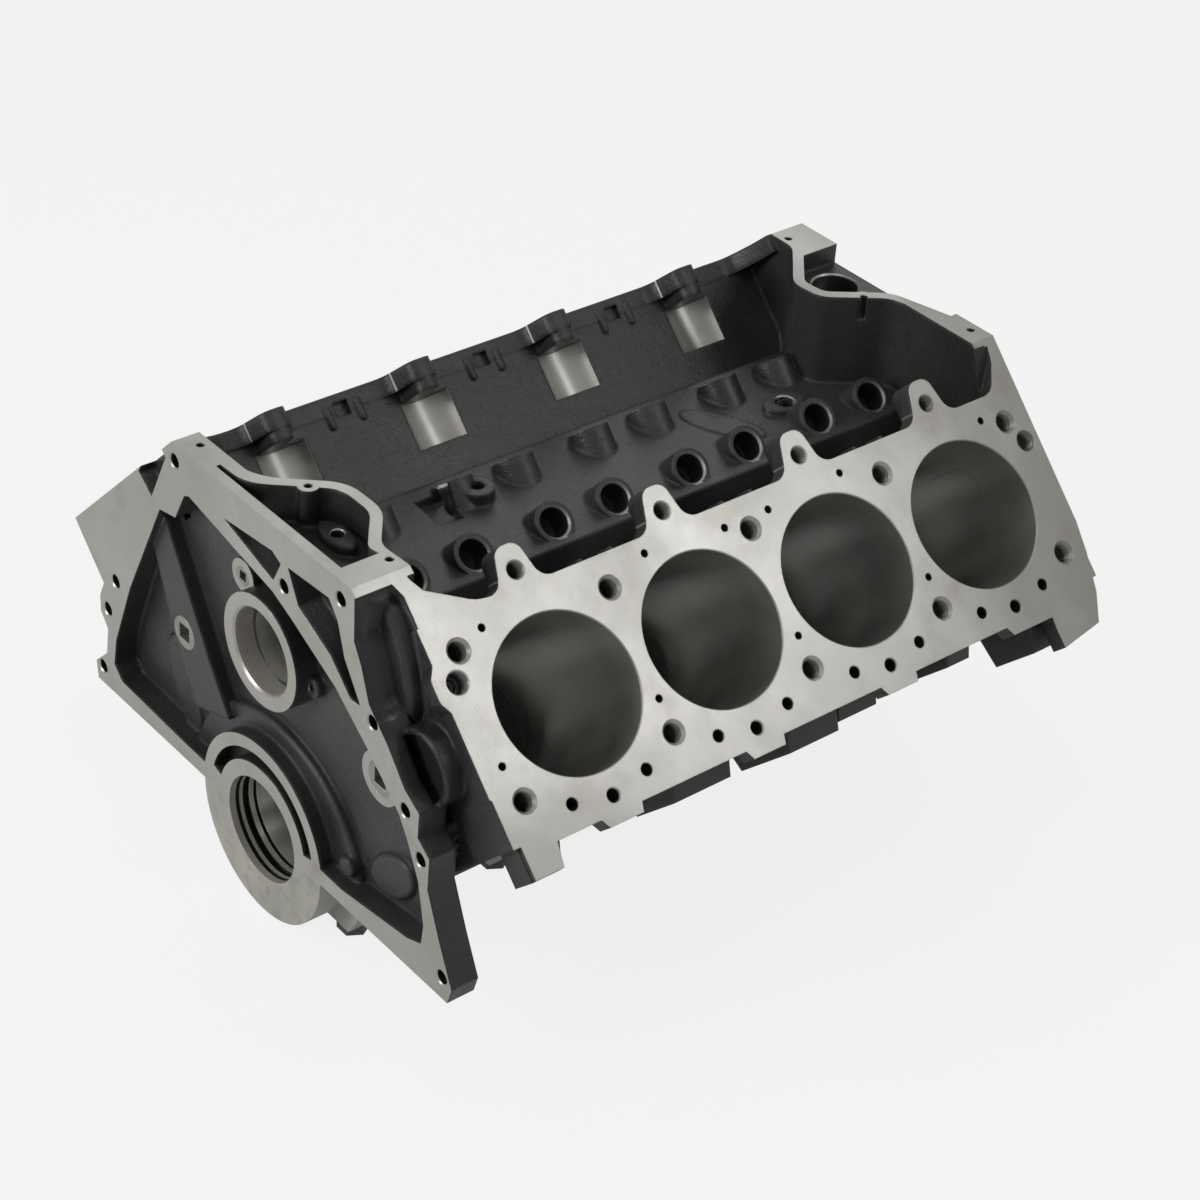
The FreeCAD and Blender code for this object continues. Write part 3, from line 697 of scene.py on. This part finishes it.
def pad_ribs():
    """Three cast ribs across the pad of the near bank's end wall."""
    return [block((160.0, 9.0, low), (183.5, 36.0, low + 3.5), 1.2) for low in (88.0, 95.0, 102.0)]


# The casting's added holes

def port_floor():
    """Shallower floor for the near water port, so that it stays clear of the last cylinder."""
    return copies(round_bar("floor", 19.3, 18.0, 44.0, 56), [rearward(122.0, 160.0, LENGTH)])


# Steam holes of a deck, as pitches from the first bore and millimetres outwards
STEAM = [
    (-0.32, -60.4), (0.79, -64.5), (1.34, -59.7), (1.66, -59.9), (2.22, -64.3), (3.33, -60.0),
]
# Holes of the rails at both ends, as x and y
RAILS = [(-90, 14), (-8.5, 45), (91, 39), (-91, 548), (8.5, 534), (89, 566)]
# Holes of the bell housing flange, as x and z
FLANGE = [
    (-101.3, 252), (92.7, 251), (28.7, 224), (128.9, 175.6), (165.6, 128), (183.3, 99),
    (210, 17.5), (-186.3, 104.7), (-199, 73), (-209.6, 15),
]


def small_holes():
    """Small drilled holes, and the last near cylinder cut clear of the port's floor."""
    wall = finished(round_bar("wall", BORE - 0.15, -110.0, -30.0, 120), BORED)
    tools = copies(wall, [place(NEAR, FIRST_BORE[NEAR] + 3 * PITCH, 0.0)])
    for side in (NEAR, FAR):
        y0 = FIRST_BORE[side]
        bores = [y0 + k * PITCH for k in range(4)]
        beside = [y + s * 0.25 * PITCH for y in bores for s in (-1, 1)]
        # in the tabs of the valley's side, then in two rows along the outer edge
        tools += copies(drill(11.6, 18.0, 1.2), [place(side, y + 1.0, -86.7) for y in bores])
        tools += copies(drill(9.2, 20.0, 0.9), [place(side, y, 72.2) for y in bores])
        tools += copies(drill(8.6, 22.0, 0.5), [place(side, y, 66.2) for y in beside])
        # between the bores, then steam holes, then one before the first bore
        spots = [(y + 0.5 * PITCH, 27.5) for y in bores[:3]]
        spots += [(y0 + s * PITCH, v) for s, v in STEAM]
        spots.append((y0 - 0.54 * PITCH, 25.9))
        tools += copies(drill(5.4, 20.0, 0.3), [place(side, y, v) for y, v in spots])
        # a larger one at each end of the deck
        ends = [y0 + s * PITCH for s in (-0.58, 3.585)]
        tools += copies(drill(15.0, 12.0, 1.0, 36), [place(side, y, -34.0) for y in ends])
    tools += copies(drill(5.6, 18.0, 0.5), [upward(x, y, RAIL) for x, y in RAILS])
    tools += copies(drill(10.4, 20.0, 1.0), [rearward(x, z) for x, z in FLANGE])
    return tools


def boss_holes():
    """Holes in the bosses that only the visual model has."""
    tools = copies(drill(5.0, 14.0, 0.6), [rearward(*SMALL_BOSS, RECESS_FLOOR - 8.0)])
    tools += copies(drill(15.0, 10.0, 1.0, 36), [upward(*SENSOR, VALLEY_FLOOR + 5.0)])
    tools += copies(drill(9.0, 14.0, 0.8), [upward(*SHELF_BOSS, REAR_SHELF + 8.0)])
    tools += copies(cup(24.0, 5.0), [rearward(*CORE_SEAT, END_WALL - 15.0)])
    return tools


def broken_edges():
    """Chamfers on the mouths of the larger holes."""
    tools = []
    for side in (NEAR, FAR):
        y0 = FIRST_BORE[side]
        bores = [place(side, y0 + k * PITCH, 0.0) for k in range(4)]
        tools += copies(countersink(BORE, 0.8, 64), bores)
        spots = [(y0 + (k - 0.5) * PITCH, v) for k in range(5) for v in BOLT_ROWS]
        tools += copies(countersink(BOLT_HOLE, 2.2), [place(side, u, v) for u, v in spots])
        lifters = [lifter(side, y0 + k * PITCH + step) for k in range(4) for step in LIFTER_STEPS]
        tools += copies(countersink(LIFTER_BORE, 2.0), lifters)
    tools += copies(countersink(CAM_SEAT, 1.6, 64), [rearward(0.0, CAM_HEIGHT)])
    # mouth of the distributor's bore
    tools += copies(countersink(17.5, 1.2), [upward(-37.0, LENGTH - 25.0, FRONT_SHELF)])
    return tools


def seal_grooves():
    """Grooves of the rear seal and the oil slinger in the crankshaft's bore."""
    tools = []
    for start, width, deep in ((5.0, 3.0, 2.0), (11.0, 5.0, 4.0), (20.0, 2.5, 2.0)):
        ring = round_bar("groove", MAIN_BORE + deep, -(start + width), -start, 72)
        # at this depth the tapped finish is wholly in its painted shade, so the grooves render dark
        tools += copies(finished(ring, THREADED), [rearward(0.0, 0.0)])
    return tools


# Edges that turn by more than this stay sharp
SHARP_FROM = math.radians(28)


def dressed(piece, node):
    """Smooth shading, and the piece takes the CAD node's place."""
    pick(piece)
    bpy.ops.object.shade_smooth_by_angle(angle=SHARP_FROM)
    weighting = piece.modifiers.new("flat faces stay flat", "WEIGHTED_NORMAL")
    weighting.keep_sharp = True
    bpy.ops.object.modifier_apply(modifier=weighting.name)
    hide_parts(node)
    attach(piece, "root")


# The cuts come before the forms, because the CAD mesh is cut more reliably without them
casting = bare_copy("cylinder_block", "block_casting")
for face in casting.data.polygons:
    face.material_index = finish_of(corners_of(casting, face), face.normal)
carve(casting, joined("port floor", port_floor()), "UNION")
carve(casting, joined("drills", small_holes()), "DIFFERENCE")
carve(casting, joined("chamfers", broken_edges()), "DIFFERENCE")
carve(casting, joined("grooves", seal_grooves()), "DIFFERENCE")
carve(casting, joined("swells", cast_swells()), "UNION")
carve(casting, joined("forms", cast_forms()), "UNION")
carve(casting, joined("ribs", pad_ribs()), "UNION")
carve(casting, joined("boss holes", boss_holes()), "DIFFERENCE")
dressed(casting, "cylinder_block")

rear_cap = bare_copy("main_cap_1", "rear_main_cap")
for face in rear_cap.data.polygons:
    section = [(point.x, point.z) for point in corners_of(rear_cap, face)]
    face.material_index = TURNED if on_round(section, (0, 0), MAIN_BORE) else BARE
carve(rear_cap, joined("cap grooves", seal_grooves()), "DIFFERENCE")
dressed(rear_cap, "main_cap_1")


# The fitted pieces keep their CAD form

FITTED = {
    "main_cap": MATERIALS[BARE],
    "main_bolts": bare_casting("black steel", (0.10, 0.10, 0.105), 0.38, 0.8),
    "gallery_plug": bare_casting("plug steel", (0.42, 0.41, 0.39), 0.36, 0.8),
    "core_plug": bare_casting("plated steel", (0.55, 0.52, 0.44), 0.33, 0.9),
}
for name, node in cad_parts.items():
    for start, material in FITTED.items():
        if name.startswith(start):
            node.data.materials.clear()
            node.data.materials.append(material)


# Floor, light and camera

# How much of the pale background shiny surfaces see, the rest is the softer studio light
GLOSSY_SHARE = 0.32
# How much of the floor's look is its own glow, the rest takes light and shadow
FLOOR_GLOW = 0.86
# Half a millimetre below the caps' bolts
FLOOR_HEIGHT = -72.5 * MM
# Middle of the block, which the lamps look at
MIDDLE = Vector((0.0, LENGTH / 2 * MM, 0.12))


def floor_material():
    """Pale floor that runs into the background and takes a soft shadow."""
    g = material_graph("floor")
    glow = g.node("ShaderNodeEmission", Color=(0.975, 0.975, 0.975, 1.0), Strength=1.0)
    g.cover(g.seen_by_camera(GLOSSY_SHARE) * FLOOR_GLOW, glow)
    base = g.mix(g.noise(30.0, 2.0), (0.78, 0.78, 0.78, 1.0), (0.80, 0.80, 0.80, 1.0))
    return g.finish(Base_Color=base, Roughness=0.8)


clear()
bpy.ops.mesh.primitive_plane_add(size=30.0, location=(0.0, MIDDLE.y, FLOOR_HEIGHT))
floor = bpy.context.object
floor.name = "floor"
floor.data.materials.append(floor_material())
floor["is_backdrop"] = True

# The camera sees a white background, and the block is lit by a dimmer one
world = bpy.data.worlds.new("studio")
bpy.context.scene.world = world
studio = Graph(world, "Background", "World Output")
studio.finish(Color=(0.80, 0.81, 0.83, 1.0), Strength=0.25)
white = studio.node("ShaderNodeBackground", Color=(0.896, 0.896, 0.896, 1.0))
studio.cover(studio.seen_by_camera(GLOSSY_SHARE), white)


def lamp(name, direction, distance, size, watts, tint=(1.0, 1.0, 1.0)):
    """Square soft light that looks at the block's middle, its distance and size in metres."""
    data = bpy.data.lights.new(name, "AREA")
    data.energy = watts
    data.size = size
    data.color = tint
    light = bpy.data.objects.new(name, data)
    bpy.context.scene.collection.objects.link(light)
    away = Vector(direction).normalized()
    light.location = MIDDLE + away * distance
    light.rotation_euler = away.to_track_quat("Z", "Y").to_euler()


lamp("key", (0.617, 0.429, 0.659), 1.7, 0.6, 3.7)
lamp("back", (-0.613, 0.544, 0.573), 2.4, 1.4, 5.5)
lamp("left", (-0.25, -1.0, 0.45), 2.2, 0.9, 20.0, (1.0, 0.985, 0.955))
lamp("top", (0.1, -0.1, 1.0), 2.0, 0.9, 4.5)

# The photo's camera, solved from the bores and bolt holes of the near deck
camera_data = bpy.data.cameras.new("camera")
camera_data.lens = 86.62
camera_data.sensor_width = 36.0
camera = bpy.data.objects.new("camera", camera_data)
bpy.context.scene.collection.objects.link(camera)
eye = Vector((1.3129, -0.8636, 1.3037))
right = Vector((0.63106, 0.77351, 0.05870))
up = Vector((-0.47512, 0.32559, 0.81746))
back = Vector((0.61321, -0.54376, 0.57298))
camera.matrix_world = Matrix.Translation(eye) @ Matrix((right, up, back)).transposed().to_4x4()
bpy.context.scene.camera = camera
bpy.context.scene.view_settings.view_transform = "Standard"


def corners(box):
    return [[float(part) for part in corner] for corner in box]


{"cad": corners(CAD_BOX), "visual": corners(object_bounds())}
